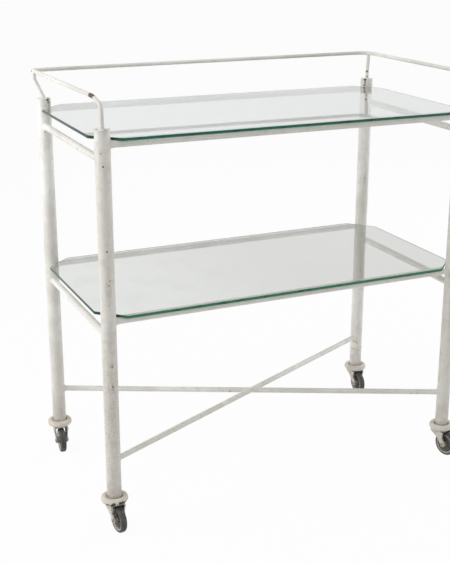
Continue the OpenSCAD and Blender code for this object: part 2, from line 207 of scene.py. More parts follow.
# Single chips that the photograph shows: x, y, z and radius
enamelChips = [
    (-0.3921, -0.1945, 0.7501, 0.0011), (-0.3896, -0.1956, 0.7269, 0.0016), (-0.3878, -0.1961, 0.5712, 0.0018),
    (-0.3841, -0.1964, 0.5158, 0.0013), (-0.3863, -0.1963, 0.5066, 0.0012), (-0.3859, -0.1964, 0.3473, 0.0015),
    (-0.3853, -0.1964, 0.3067, 0.0013), (-0.3890, 0.1817, 0.7235, 0.0014), (-0.3903, 0.1821, 0.3996, 0.0012),
    (-0.3879, -0.1961, 0.4682, 0.0007), (-0.3868, -0.1350, 0.8432, 0.0076), (-0.3866, -0.1425, 0.8425, 0.0070),
    (-0.4035, 0.2125, 0.8425, 0.0034), (-0.3943, -0.1808, 0.7912, 0.0018), (-0.3728, -0.1847, 0.7912, 0.0018),
    (-0.3820, -0.1915, 0.7912, 0.0028), (-0.3795, 0.1822, 0.7885, 0.0030), (-0.3789, 0.1825, 0.7830, 0.0019),
    (-0.3784, 0.1827, 0.7775, 0.0016), (-0.3780, 0.1830, 0.7715, 0.0014), (0.3765, 0.1905, 0.7900, 0.0040),
    (0.3740, 0.1868, 0.7830, 0.0010), (0.3738, 0.1865, 0.7777, 0.0024), (0.3739, 0.1864, 0.7700, 0.0009),
    (0.3743, 0.1858, 0.7568, 0.0014), (0.3893, 0.1845, 0.7910, 0.0012), (0.3853, 0.1971, 0.8070, 0.0024),
    (0.3838, 0.1925, 0.7960, 0.0013), (-0.0438, 0.0224, 0.1454, 0.0016), (-0.0578, 0.0293, 0.1470, 0.0010),
    (-0.0640, 0.0325, 0.1466, 0.0009), (0.3294, -0.1604, 0.1452, 0.0011), (0.3180, -0.1550, 0.1450, 0.0010),
    (-0.3021, -0.1879, 0.7650, 0.0009), (-0.3980, -0.1880, 0.0753, 0.0012), (-0.3904, -0.1954, 0.0762, 0.0010),
]
# Soft brown dirt that it shows, and painted shade on the back right leg: x, y, z, radius, depth and how many
# times as tall as wide
enamelDirtAndShade = [
    (-0.3868, -0.1963, 0.4980, 0.0058, 0.34, 4.0), (-0.3856, -0.1964, 0.3500, 0.0042, 0.60, 1.0),
    (-0.3848, -0.1964, 0.3050, 0.0028, 0.55, 3.0), (0.3824, 0.1814, 0.5545, 0.0034, 0.65, 4.0),
    # from (0.3733, 0.1872, 0.1352) to (0.3918, 0.1828, 0.1114): painted shade in the recess under the brace
    # joint and along the lower edge of the weld bead
    (0.3733, 0.1872, 0.1352, 0.0046, 0.85, 1.0), (0.3780, 0.1830, 0.1340, 0.0036, 0.75, 1.0),
    (0.3722, 0.1885, 0.1180, 0.0016, 0.75, 1.0), (0.3745, 0.1858, 0.1170, 0.0016, 0.75, 1.0),
    (0.3778, 0.1832, 0.1150, 0.0016, 0.75, 1.0), (0.3812, 0.1817, 0.1135, 0.0016, 0.75, 1.0),
    (0.3848, 0.1811, 0.1125, 0.0016, 0.75, 1.0), (0.3885, 0.1815, 0.1118, 0.0016, 0.75, 1.0),
    (0.3918, 0.1828, 0.1114, 0.0014, 0.75, 1.0), (0.3838, 0.1925, 0.7960, 0.0030, 0.70, 1.0),
    (-0.3855, -0.1500, 0.8395, 0.0040, 0.60, 1.0), (-0.3850, -0.1820, 0.2600, 0.0300, 0.36, 5.0),
    (0.3850, 0.1950, 0.6650, 0.0300, 0.22, 3.0),
]
enamelSeams = [0.7886, 0.7842]  # heights of two thin rings at the top of the front left leg


# spots in the mud tone: dirt, and painted shade where a listed spot stands for shade
def dirtAndShadeSpots(s, colour, place, ragged, look, dirt):
    grit = s.ramp(s.noise(place, look["gritScale"], 3.0), 0.42, 0.60, 0.25, 1.0)
    for x, y, z, radius, depth, tall in dirt:
        far = s.distance(s.stretched(ragged, (1.0, 1.0, 1.0 / tall)), (x, y, z / tall))
        near = s.ramp(far, radius * 1.5, radius * 0.4)
        colour = s.mix(near * grit * depth, colour, look["mudAndShade"])
    return colour


def chipped(s, place, ragged, look, chips, seams):  # where bare metal shows, and where primer does
    cells = {"Vector": ragged, "Scale": look["chipCells"]}
    reach = s.node("ShaderNodeTexVoronoi", None, cells, "Distance")
    cell = s.node("ShaderNodeTexVoronoi", None, cells, "Color")
    pick = s.node("ShaderNodeSeparateColor", None, {0: cell})
    size = s.ramp(pick, look["chipShare"], 1.0, -0.02, 0.045)
    core = s.ramp(size - reach, 0.0, 0.02)
    halo = s.ramp(size - reach, -0.035, 0.0) * s.ramp(size, -0.019, 0.0)
    for x, y, z, radius in chips:
        far = s.distance(ragged, (x, y, z))
        core = core.larger(s.ramp(far, radius * 1.1, radius * 0.8))
        halo = halo.larger(s.ramp(far, radius * 1.6, radius * 1.1))
    for z in seams:
        far = s.distance(place, (*legAt["front_left"], z))
        near = s.ramp(far, look["seamReach"], look["seamReach"] * 0.9)
        off = abs(s.part(place, "Z") - z)
        line = s.ramp(off, look["seamWidth"], look["seamWidth"] / 3, 0.0, look["seamDepth"])
        halo = halo.larger(near * line)
    return core, halo


def enamel(name, look, chips=(), seams=(), dirt=()):
    s = Shader(bpy.data.materials.new(name))
    place = s.place()
    ragged = s.ragged(place, look["raggedScale"], look["raggedSize"])
    patches = s.noise(place, look["patchScale"], 3.0)
    mottle = s.noise(place, look["mottleScale"], 4.0)
    blotch = s.noise(s.stretched(place, look["grain"]), look["blotchScale"], 4.0)
    runs = s.noise(s.stretched(place, look["runStretch"]), look["runScale"], 2.0)
    fine = s.noise(place, look["fineScale"], 2.0)
    # painted light: the paint turns lighter towards the back
    litBack = s.ramp(s.part(place, "Y"), look["litBackFrom"], look["litBackTo"])
    calm = 1.0 - litBack * look["litBackCalm"]  # the back legs are less stained, which adds to the painted light there
    colour = s.mix(s.ramp(patches, 0.36, 0.66), s.mix(litBack, look["light"], look["litBack"]), look["dull"])
    colour = s.mix(s.ramp(mottle, 0.50, 0.74) * calm * look["mottle"], colour, look["stain"])
    colour = s.mix(s.ramp(blotch, 0.50, 0.66) * calm * look["blotch"], colour, look["stain"])
    colour = dirtAndShadeSpots(s, colour, place, ragged, look, dirt)
    colour = s.mix(s.ramp(runs, 0.62, 0.80) * look["runs"], colour, look["stain"])
    # darker towards the bottom of the legs
    low = s.ramp(s.part(place, "Z"), look["darkTop"], look["darkFull"]) * s.ramp(mottle, 0.25, 0.60)
    colour = s.mix(low * look["darkDepth"], colour, look["darkening"])
    core, halo = chipped(s, place, ragged, look, chips, seams)
    colour = s.mix(halo * 0.55, colour, look["primer"])
    colour = s.mix(core * 0.92, colour, look["rust"])
    heights = mottle * 0.5 + runs * 0.12 + fine * 0.04 - core * 1.2
    s.set(Base_Color=colour, Roughness=0.34 + mottle * 0.18 + core * 0.3,
          Normal=s.bump(heights, look["bumpStrength"], look["bumpDistance"]))
    return s.owner


print("materials")
rodEnamelLook = dict(enamelLook, grain=(0.55, 0.55, 1.0), blotch=0.16)
# the weld's lighter back tone is painted light too
weldEnamelLook = dict(enamelLook, light=tone(0.84, 0.81, 0.71), litBack=tone(0.88, 0.85, 0.76),
                      dull=tone(0.76, 0.72, 0.60))
frameEnamel = enamel("frameEnamel", enamelLook, enamelChips, enamelSeams, enamelDirtAndShade)
rodEnamel = enamel("rodEnamel", rodEnamelLook, enamelChips, (), enamelDirtAndShade)
weldEnamel = enamel("weldEnamel", weldEnamelLook)


# Paint on the castor forks: worn off along the edges, and near-black inside and under the ring with grease and
# painted shade

forkLook = {
    "light": tone(0.67, 0.64, 0.585),
    "beige": tone(0.56, 0.515, 0.45),
    "stain": tone(0.38, 0.31, 0.23),
    "bare": tone(0.11, 0.085, 0.065),
    # near-black of grease and painted shade on the inner faces and under the ring
    "darkening": tone(0.030, 0.024, 0.019),
    "ringShadeTop": 0.0600,
    "ringShadeFade": 0.003,
}


def forkEnamel(look):
    s = Shader(bpy.data.materials.new("forkEnamel"))
    place = s.place()
    mottle = s.noise(place, 110.0, 4.0)
    broad = s.noise(place, 38.0, 2.0)
    fine = s.noise(place, 700.0, 2.0)
    ragged = s.ragged(place, 600.0, 0.002)
    colour = s.mix(s.ramp(broad, 0.38, 0.62), look["light"], look["beige"])
    colour = s.mix(s.ramp(mottle, 0.52, 0.72) * 0.55, colour, look["stain"])
    bare = s.ramp(s.attribute("worn") * 0.35 + s.noise(ragged, 130.0, 3.0), 0.80, 0.86)
    height = s.part(place, "Z") + mottle * 0.004
    # painted shade under the buffer ring, on the top of the crown
    ringShade = s.ramp(height, look["ringShadeTop"] - look["ringShadeFade"], look["ringShadeTop"])
    # grease and painted shade on the inner faces and under the ring
    darkening = s.ramp(s.attribute("inner") * 0.75 + mottle * 0.35 + ringShade * 0.5, 0.35, 0.75)
    colour = s.mix(bare * 0.8, colour, look["bare"])
    colour = s.mix(darkening * 0.94, colour, look["darkening"])
    s.set(Base_Color=colour, Roughness=0.42 + mottle * 0.2 + darkening * 0.25,
          Normal=s.bump(mottle * 0.5 + fine * 0.1 - bare * 0.6, 0.25, 0.0005))
    return s.owner


forkPaint = forkEnamel(forkLook)


# Buffer rings: cream rubber, dirty and darkened with painted shade at the leg, and torn in places

ringLook = {
    "light": tone(0.74, 0.70, 0.635),
    "pink": tone(0.66, 0.60, 0.53),
    "dirt": tone(0.33, 0.285, 0.225),
    # grime and painted shade in the gap where the leg enters the ring
    "seat": tone(0.21, 0.16, 0.115),
    "dark": tone(0.045, 0.032, 0.024),
    "tornTop": 0.0640,
    "tornFade": 0.004,
    "tornFrom": 0.45,
    "tornAt": (-0.392, -0.2, 0.0585),
    "tornReach": 0.035,
}
# Chips out of the two front rings: x, y, z and radius
ringChips = [
    (-0.4043, -0.1994, 0.0628, 0.0030), (-0.3985, -0.2045, 0.0625, 0.0026), (-0.3945, -0.2066, 0.0648, 0.0034),
    (-0.3880, -0.2090, 0.0628, 0.0020), (-0.3818, -0.2088, 0.0650, 0.0038), (-0.3768, -0.2075, 0.0652, 0.0032),
    (-0.3860, -0.2085, 0.0690, 0.0008), (-0.3720, -0.2050, 0.0645, 0.0026), (0.3935, -0.2078, 0.0640, 0.0014),
    (0.3800, -0.2080, 0.0630, 0.0012),
]


def creamRubber(look, chips):
    s = Shader(bpy.data.materials.new("creamRubber"))
    place = s.place()
    mottle = s.noise(place, 150.0, 4.0)
    broad = s.noise(place, 35.0, 2.0)
    specks = s.noise(place, 520.0, 2.0)
    ragged = s.ragged(place, 500.0, 0.004)
    colour = s.mix(s.ramp(broad, 0.35, 0.65), look["light"], look["pink"])
    colour = s.mix(s.ramp(mottle, 0.55, 0.78) * 0.5, colour, look["dirt"])
    # grime and painted shade next to the leg
    colour = s.mix(s.ramp(s.attribute("seat") + mottle * 0.4, 0.45, 0.95) * 0.75, colour, look["seat"])
    colour = s.mix(s.ramp(specks, 0.60, 0.70) * 0.45, colour, look["dirt"])
    low = s.ramp(s.part(place, "Z"), look["tornTop"], look["tornTop"] - look["tornFade"])
    torn = low * s.ramp(s.noise(ragged, 170.0, 2.0), look["tornFrom"], look["tornFrom"] + 0.03)
    torn = torn * s.ramp(s.distance(place, look["tornAt"]), look["tornReach"], look["tornReach"] * 0.6)
    for x, y, z, radius in chips:
        torn = torn.larger(s.ramp(s.distance(ragged, (x, y, z)), radius * 1.2, radius * 0.8))
    colour = s.mix(torn, colour, look["dark"])
    s.set(Base_Color=colour, Roughness=0.62 + mottle * 0.2, Normal=s.bump(mottle * 0.6 - torn, 0.35, 0.0008))
    return s.owner


rubberRing = creamRubber(ringLook, ringChips)


# Wheels, axles and pins

tyreLook = {
    "dark": tone(0.038, 0.036, 0.033),
    "grey": tone(0.085, 0.085, 0.080),
    "dust": tone(0.16, 0.155, 0.14),
}
wheelLook = {
    "metal": tone(0.62, 0.615, 0.59),
    "dull": tone(0.45, 0.44, 0.42),
    # dark tone of grime and painted shade in the recess
    "darkening": tone(0.050, 0.038, 0.028),
}
steelLook = {
    "steel": tone(0.34, 0.32, 0.29),
    "dull": tone(0.22, 0.20, 0.175),
    "rust": tone(0.10, 0.06, 0.035),
}


def tyreRubber(look):
    s = Shader(bpy.data.materials.new("tyreRubber"))
    place = s.place()
    mottle = s.noise(place, 220.0, 4.0)
    dust = s.noise(place, 60.0, 3.0)
    colour = s.mix(s.ramp(mottle, 0.35, 0.7), look["dark"], look["grey"])
    colour = s.mix(s.ramp(dust, 0.48, 0.72) * 0.5, colour, look["dust"])
    s.set(Base_Color=colour, Roughness=0.55 + mottle * 0.25, Normal=s.bump(mottle, 0.4, 0.0004))
    return s.owner


def wheelMetal(look):
    s = Shader(bpy.data.materials.new("wheelMetal"))
    place = s.place()
    mottle = s.noise(place, 260.0, 4.0)
    dirt = s.noise(place, 90.0, 3.0)
    # grime and painted shade in the recessed web and on the boss
    darkening = s.ramp(s.attribute("recessGrimeAndShade") + dirt * 0.5, 0.55, 0.95)
    colour = s.mix(s.ramp(mottle, 0.35, 0.7), look["metal"], look["dull"])
    colour = s.mix(darkening * 0.9, colour, look["darkening"])
    s.set(Base_Color=colour, Metallic=0.55 - darkening * 0.5, Roughness=0.42 + mottle * 0.2 + darkening * 0.3,
          Normal=s.bump(mottle, 0.3, 0.0004))
    return s.owner


def dullSteel(look):
    s = Shader(bpy.data.materials.new("dullSteel"))
    place = s.place()
    mottle = s.noise(place, 300.0, 4.0)
    rust = s.ramp(s.noise(place, 120.0, 4.0), 0.52, 0.68)
    colour = s.mix(s.ramp(mottle, 0.3, 0.7), look["steel"], look["dull"])
    colour = s.mix(rust * 0.7, colour, look["rust"])
    s.set(Base_Color=colour, Metallic=0.8 - rust * 0.7, Roughness=0.45 + rust * 0.35,
          Normal=s.bump(mottle, 0.3, 0.0003))
    return s.owner


tyreGrey = tyreRubber(tyreLook)
hubMetal = wheelMetal(wheelLook)
plainSteel = dullSteel(steelLook)


# Glass: a clear body with painted light that makes it lighter towards the left and painted shade on the lower
# plate, and its ground green edge with painted highlights and shade

# left: the lighter tone of the painted light towards the left side
clearLook = {
    "upper_glass": {"left": tone(0.735, 0.77, 0.76), "clear": tone(0.665, 0.69, 0.675),
                    "smeared": tone(0.69, 0.71, 0.70), "litSideFrom": -0.40, "litSideTo": 0.35},
    # the lower plate's tones are darker than the upper's: painted shade under the upper shelf
    "lower_glass": {"left": tone(0.73, 0.745, 0.725), "clear": tone(0.635, 0.645, 0.618),
                    "smeared": tone(0.60, 0.61, 0.585), "litSideFrom": -0.40, "litSideTo": 0.10},
}
# painted shade and highlights on the edges: grey side edges that darken towards the front corners, and a pale
# highlight along the bottom
edgeShade = {
    "grey": tone(0.085, 0.105, 0.097), "corner": tone(0.020, 0.034, 0.030), "paleHighlight": tone(0.30, 0.46, 0.38),
    "frontEnd": -0.184, "sideStart": -0.176, "cornerShadeFrom": -0.17, "cornerShadeTo": 0.05,
}
edgeLook = {
    # the brightest tone is for painted glints
    "upper_glass": dict(edgeShade, dark=tone(0.003, 0.050, 0.034), green=tone(0.008, 0.120, 0.076),
                        glint=tone(0.05, 0.26, 0.18)),
    "lower_glass": dict(edgeShade, dark=tone(0.008, 0.075, 0.042), green=tone(0.030, 0.185, 0.095),
                        glint=tone(0.07, 0.30, 0.19)),
}


def glassBody(name, look):
    s = Shader(bpy.data.materials.new(name))
    place = s.place()
    smear = s.ramp(s.noise(place, 14.0, 4.0), 0.45, 0.75)
    # painted light: the body is lighter towards the left
    side = s.ramp(s.part(place, "X"), look["litSideFrom"], look["litSideTo"])
    litTint = s.mix(side, look["left"], look["clear"])
    s.set(Base_Color=s.mix(smear * 0.3, litTint, look["smeared"]), Roughness=0.004 + smear * 0.03)
    s.set(Transmission_Weight=1.0, IOR=1.5)
    lamp = s.node("ShaderNodeLightPath", output="Is Shadow Ray")  # lets the lamps' light through
    through = s.node("ShaderNodeBsdfTransparent", None, {"Color": look["clear"]})
    s.swapSurface(through, lamp, "Material Output")
    return s.owner


def glassEdge(name, look, low, high):
    s = Shader(bpy.data.materials.new(name))
    place = s.place()
    depth = s.part(place, "Y")
    up = s.ramp(s.part(place, "Z"), low, high)
    bands = s.noise(s.stretched(place, (1.0, 0.35, 2.5)), 42.0, 2.0)
    fine = s.noise(s.stretched(place, (1.0, 0.5, 3.0)), 190.0, 2.0)
    colour = s.mix(s.ramp(bands, 0.34, 0.46), look["dark"], look["green"])
    # painted glints
    colour = s.mix(s.ramp(fine, 0.60, 0.72) * 0.55, colour, look["glint"])
    # painted shade on the side edges, darkest at the front corners
    side = s.ramp(depth, look["frontEnd"], look["sideStart"])
    sideShade = s.mix(s.ramp(depth, look["cornerShadeFrom"], look["cornerShadeTo"]), look["corner"], look["grey"])
    colour = s.mix(side * 0.90, colour, sideShade)
    # a painted highlight along the bottom of the edge
    colour = s.mix(s.ramp(up, 0.14, 0.06) * 0.85, colour, look["paleHighlight"])
    s.set(Base_Color=colour, Roughness=0.34 + fine * 0.2, Normal=s.bump(bands, 0.1, 0.0006))
    s.set(Specular_IOR_Level=0.3)
    return s.owner


# Shapes that several pieces share

def addPiece(name, bm, body, material, crease):
    mesh = bpy.data.meshes.new(name)
    bm.to_mesh(mesh)
    bm.free()
    mesh.materials.append(material)
    mesh.shade_smooth()
    mesh.set_sharp_from_angle(angle=radians(crease))
    piece = bpy.data.objects.new(name, mesh)
    bpy.context.scene.collection.objects.link(piece)
    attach(piece, body)
    return piece


def finishPiece(name, bm, body, material, replaced=(), crease=32.0):  # for closed shapes
    bmesh.ops.recalc_face_normals(bm, faces=bm.faces)
    piece = addPiece(name, bm, body, material, crease)
    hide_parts(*replaced)


def softened(node, width, crease=30.0, band=0.0):  # a copy of a CAD mesh with its sharp edges rounded
    bm = bmesh.new()
    bm.from_mesh(cadNodes[node].data)
    worn = bm.verts.layers.float.new("worn")
    bmesh.ops.remove_doubles(bm, verts=bm.verts, dist=2e-6)
    bmesh.ops.dissolve_limit(bm, angle_limit=radians(0.5), verts=bm.verts, edges=bm.edges)
    sharp = [e for e in bm.edges if len(e.link_faces) == 2 and e.calc_face_angle(0.0) > radians(crease)]
    made = bmesh.ops.bevel(bm, geom=sharp, offset=width, segments=2, profile=0.5, affect="EDGES", material=-1)
    for vert in made["verts"]:
        vert[worn] = 1.0
    if band:  # wear fades out within this width of the edges
        rounded = set(made["faces"])
        flat = [f for f in bm.faces if f not in rounded]
        bmesh.ops.inset_region(bm, faces=flat, thickness=band, use_boundary=True, use_even_offset=True)
        edge = {v for f in rounded for v in f.verts}
        for face in flat:
            for vert in face.verts:
                if vert not in edge:
                    vert[worn] = 0.0
    return bm


def spun(profile, steps, closed=True):  # profile of (radius, height) points turned round Z
    bm = bmesh.new()
    verts = [bm.verts.new((r, 0.0, t)) for r, t in profile]
    after = verts[1:] + verts[:1] if closed else verts[1:]
    edges = [bm.edges.new(pair) for pair in zip(verts, after)]
    bmesh.ops.spin(bm, geom=verts + edges, cent=(0, 0, 0), axis=(0, 0, 1), angle=2 * pi, steps=steps,
                   use_merge=True)
    bmesh.ops.remove_doubles(bm, verts=bm.verts, dist=1e-7)
    return bm


def mirrored(half):  # the half profile and its reflection below height 0
    return half + [(r, -t) for r, t in reversed(half) if t > 1e-9]


def arc(centre, radius, start, end, count):
    angles = [radians(start + (end - start) * i / count) for i in range(count + 1)]
    return [(centre[0] + radius * cos(angle), centre[1] + radius * sin(angle)) for angle in angles]


def roughen(bm, size, scale, seed):
    for vert in bm.verts:
        vert.co += Vector((noise.noise(vert.co * scale + Vector((seed, 0, 0))),
                           noise.noise(vert.co * scale + Vector((0, seed, 0))),
                           noise.noise(vert.co * scale + Vector((0, 0, seed))))) * size


def onAxle(axle):  # turns local Z along the axle and local X up
    up = Vector((0, 0, 1))
    return Matrix((up, axle.cross(up), axle)).transposed().to_4x4()


def legPoint(corner, z):
    return Vector((legAt[corner].x, legAt[corner].y, z))


# Rails and braces: round rods whose brazing runs out in an uneven collar on the leg

rodShape = {
    "railRadius": 0.0068,
    "upperRadius": 0.0066,
    "lowerRadius": 0.0063,
    "braceRadius": 0.0057,
    "collar": 0.0070,
    "collarRings": [0.0, 0.12, 0.25, 0.4, 0.6, 0.8, 1.0, 1.3],  # shares of the collar's length
    "flare": 0.0021,
    "flareRough": 0.55,
    "flareEase": 2.2,
    "weldedFlare": 1.6,  # times as much flare where the weld bead is
    "sink": 0.0006,
    "ringSpacing": 0.03,
    "buttGap": 0.002,
    "steps": 40,
    "wobble": 0.00012,
    "wobbleScale": 90.0,
}


def rodSection(length, radius, shape, toLeg):  # (radius, height) points from leg to leg, or to the crossing
    near = [(radius, legRadius + shape["collar"] * share) for share in shape["collarRings"]]
    far = [(r, length - t) for r, t in reversed(near)] if toLeg else [(radius, length - shape["buttGap"])]
    first = near[-1][1]
    last = length - first if toLeg else length - 2 * shape["buttGap"]
    count = int(length / shape["ringSpacing"])
    between = [(radius, first + (length - 2 * first) * i / count) for i in range(1, count)]
    between = [point for point in between if point[1] < last]
    return [(0.0, near[0][1])] + near + between + far + [(0.0, far[-1][1])]


def brazedRod(name, a, b, radius, shape, replaced, toLeg=True, extra=1.0):
    length = (b - a).length
    bm = spun(rodSection(length, radius, shape, toLeg), shape["steps"], False)
    seed = a.x * 31 + a.y * 57 + a.z * 13
    collarEnd = shape["collarRings"][-1]
    for vert in bm.verts:
        angle = atan2(vert.co.y, vert.co.x)
        ends = [(vert.co.z - legRadius, 1), (length - legRadius - vert.co.z, -1)]
        for fromEnd, sign in ends if toLeg else ends[:1]:
            reach = fromEnd / shape["collar"]
            if reach > collarEnd + 0.01:
                continue
            rough = noise.noise(Vector((cos(angle) * 1.3 + seed, sin(angle) * 1.3, sign * 3.1)))
            swell = shape["flare"] * (1.0 + shape["flareRough"] * rough) * (extra if sign > 0 else 1.0)
            swell *= max(0.0, 1.0 - reach) ** shape["flareEase"]
            ring = hypot(vert.co.x, vert.co.y)
            if ring > 1e-5:
                grown = (ring + swell) / ring
                vert.co.x *= grown
                vert.co.y *= grown
            dip = legRadius - sqrt(max(0.0, legRadius ** 2 - min(abs(vert.co.y), legRadius) ** 2))
            sink = shape["sink"] if reach < 0.01 else 0.0
            vert.co.z -= sign * (dip * max(0.0, 1.0 - reach / collarEnd) + sink)
    roughen(bm, shape["wobble"], shape["wobbleScale"], seed)
    bmesh.ops.transform(bm, matrix=Matrix.Translation(a) @ onAxle((b - a).normalized()), verts=bm.verts)
    finishPiece(name, bm, "frame", rodEnamel, replaced, crease=50.0)


print("rails and braces")
railEnds = {
    "front": ("front_left", "front_right"),
    "back": ("back_left", "back_right"),
    "left": ("front_left", "back_left"),
    "right": ("front_right", "back_right"),
}
for level in ("upper", "lower"):
    for side, (a, b) in railEnds.items():
        node = level + "_" + side + "_rail"
        radius = rodShape[level + "Radius"] if side in ("front", "back") else rodShape["railRadius"]
        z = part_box(node)[1].z - radius
        brazedRod(node + "_rod", legPoint(a, z), legPoint(b, z), radius, rodShape, [node])
braceZ = middle("brace_long").z
crossing = Vector((0.0, middle("brace_long").y, braceZ))
brazedRod("brace_long_rod", legPoint("back_left", braceZ), legPoint("front_right", braceZ),
          rodShape["braceRadius"], rodShape, ["brace_long"])
brazedRod("brace_half_front_rod", legPoint("front_left", braceZ), crossing,
          rodShape["braceRadius"], rodShape, ["brace_half_front"], toLeg=False)
brazedRod("brace_half_back_rod", legPoint("back_right", braceZ), crossing,
          rodShape["braceRadius"], rodShape, ["brace_half_back"], toLeg=False, extra=rodShape["weldedFlare"])


# A lumpy weld bead on the back right leg under the brace, and the brazing over the crossing

weldShape = {
    # degrees round the leg, height above the brace's middle and half the bead's width
    "path": [(-172, -0.0165, 0.0052), (-154, -0.0168, 0.0060), (-122, -0.0185, 0.0062), (-85, -0.0240, 0.0058),
             (-45, -0.0275, 0.0052), (-22, -0.0270, 0.0046)],
    "proud": 0.0014,
    "sink": 0.0003,
    "taper": 16,  # degrees over which each end thins out
    "lumps": 0.45,
    "rough": 0.0007,
    "roughScale": 230.0,
    "seed": 9.0,
    "steps": 70,
    "sides": 24,
    "turn": 9.0,  # radius of the ring that is spun first, where its section has a radius of 1
}
crossShape = {"long": 0.021, "wide": 0.0085, "high": 0.0046, "narrowing": 0.35, "rough": 0.0010,
              "roughScale": 140.0, "seed": 4.0}


def alongPath(path, angle):
    for a, b in zip(path, path[1:]):
        if angle <= b[0]:
            share = (angle - a[0]) / (b[0] - a[0])
            return [p + (q - p) * share for p, q in zip(a[1:], b[1:])]
    return path[-1][1:]


def weldBead(name, place, shape):  # a part of a ring is spun, then laid along the path on the leg
    path, turn, sides = shape["path"], shape["turn"], shape["sides"]
    start, end = path[0][0], path[-1][0]
    bm = bmesh.new()
    section = arc((0.0, 0.0), 1.0, 0, 360 - 360 / sides, sides - 1)
    verts = [bm.verts.new((x, 0.0, z)) for x, z in section]
    edges = [bm.edges.new(pair) for pair in zip(verts, verts[1:] + verts[:1])]
    bmesh.ops.spin(bm, geom=verts + edges, cent=(-turn, 0, 0), axis=(0, 0, 1), angle=radians(end - start),
                   steps=shape["steps"])
    for vert in bm.verts:
        angle = start + degrees(atan2(vert.co.y, vert.co.x + turn))
        outward = hypot(vert.co.x + turn, vert.co.y) - turn
        height, half = alongPath(path, angle)
        taper = max(0.0, min(1.0, (angle - start) / shape["taper"], (end - angle) / shape["taper"])) ** 0.5
        size = taper * (1.0 + shape["lumps"] * noise.noise(Vector((angle * 0.09, vert.co.z * 0.6, 2.0))))
        away = legRadius - shape["sink"] + outward * shape["proud"] * size
        turned = radians(angle)
        vert.co = Vector((cos(turned) * away, sin(turned) * away, height + vert.co.z * half * size))
    bmesh.ops.remove_doubles(bm, verts=bm.verts, dist=1e-6)
    roughen(bm, shape["rough"], shape["roughScale"], shape["seed"])
    bmesh.ops.translate(bm, vec=place, verts=bm.verts)
    finishPiece(name, bm, "frame", weldEnamel, crease=70.0)


def crossingLump(name, place, shape):
    bm = bmesh.new()
    bmesh.ops.create_uvsphere(bm, u_segments=40, v_segments=24, radius=1.0)
    for vert in bm.verts:
        x, y, z = vert.co
        wide = shape["wide"] * (1.0 - shape["narrowing"] * abs(x))
        vert.co = Vector((x * shape["long"], y * wide, z * shape["high"]))
    roughen(bm, shape["rough"], shape["roughScale"], shape["seed"])
    bmesh.ops.translate(bm, vec=place, verts=bm.verts)
    finishPiece(name, bm, "frame", weldEnamel, crease=60.0)


weldBead("back_right_weld", legPoint("back_right", braceZ), weldShape)
crossingLump("crossing_brazing", crossing, crossShape)


# Glass plates: clipped corners, rounded points and ground edges

glassShape = {"clip": 0.0500, "point": 0.0070, "pointSteps": 5, "arris": 0.0008, "proud": 0.00004}


def glassOutline(low, high, shape):
    bm = bmesh.new()
    bmesh.ops.create_grid(bm, x_segments=1, y_segments=1, size=1.0)
    for vert in bm.verts:
        vert.co = Vector((high.x if vert.co.x > 0 else low.x, high.y if vert.co.y > 0 else low.y, low.z))
    bmesh.ops.bevel(bm, geom=bm.verts[:], offset=shape["clip"], segments=1, profile=0.5, affect="VERTICES",
                    material=-1)
    pointed = shape["point"] * tan(radians(22.5))  # the outline turns by 45 degrees at each point
    bmesh.ops.bevel(bm, geom=bm.verts[:], offset=pointed, segments=shape["pointSteps"], profile=0.5,
                    affect="VERTICES", material=-1)
    return bm


def glassPlate(node, shape, clear, edge):
    low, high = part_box(node)
    bm = glassOutline(low, high, shape)
    made = bmesh.ops.extrude_face_region(bm, geom=bm.faces[:])
    raised = [v for v in made["geom"] if isinstance(v, bmesh.types.BMVert)]
    bmesh.ops.translate(bm, vec=(0, 0, high.z - low.z), verts=raised)
    bmesh.ops.recalc_face_normals(bm, faces=bm.faces)
    rims = [e for e in bm.edges if len(e.link_faces) == 2 and abs(e.verts[0].co.z - e.verts[1].co.z) < 1e-6]
    bmesh.ops.bevel(bm, geom=rims, offset=shape["arris"], segments=1, profile=0.5, affect="EDGES", material=-1)
    strip = bm.copy()  # the green edge is an open strip just outside the body
    flat = [f for f in strip.faces if abs(f.normal.z) > 0.9]
    bmesh.ops.delete(strip, geom=flat, context="FACES")
    strip.normal_update()
    for vert in strip.verts:
        vert.co += Vector((vert.normal.x, vert.normal.y, 0.0)) * shape["proud"]
    shelf = node.replace("glass", "shelf")
    finishPiece(node + "_plate", bm, shelf, clear, [node], crease=20.0)
    addPiece(node + "_edge", strip, shelf, edge, 20.0)


print("glass")
clearGlass = {"upper_glass": glassBody("upperGlass", clearLook["upper_glass"]),
              "lower_glass": glassBody("lowerGlass", clearLook["lower_glass"])}
for node in ("upper_glass", "lower_glass"):
    low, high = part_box(node)
    edge = glassEdge(node + "Edge", edgeLook[node], low.z, high.z)
    glassPlate(node, glassShape, clearGlass[node], edge)


# Gallery: one bent rod and two joggled supports

galleryShape = {
    "radius": 0.0040,
    "out": 0.399,
    "back": 0.221,
    "lift": 0.003,
    "liftFront": 0.008,
    "leftCorner": 0.008,
    "rightCorner": 0.030,
    "frontBend": 0.032,
    "sagStart": 0.044,
    "sagTop": 0.0016,
    "sagEnd": 0.0115,
    "sagBend": 0.014,
    "sagEase": 0.060,
    "seat": 0.012,
    "inset": 0.013,
    "drop": 0.016,
    "joggle": 0.013,
    "aboveLeg": 0.002,
    "bendSteps": 14,
    "rightTopStep": 9,  # the step of the right corner's bend at which its support stands
    "ringSpacing": 0.012,
    "wobble": 0.00012,
    "wobbleScale": 80.0,
}


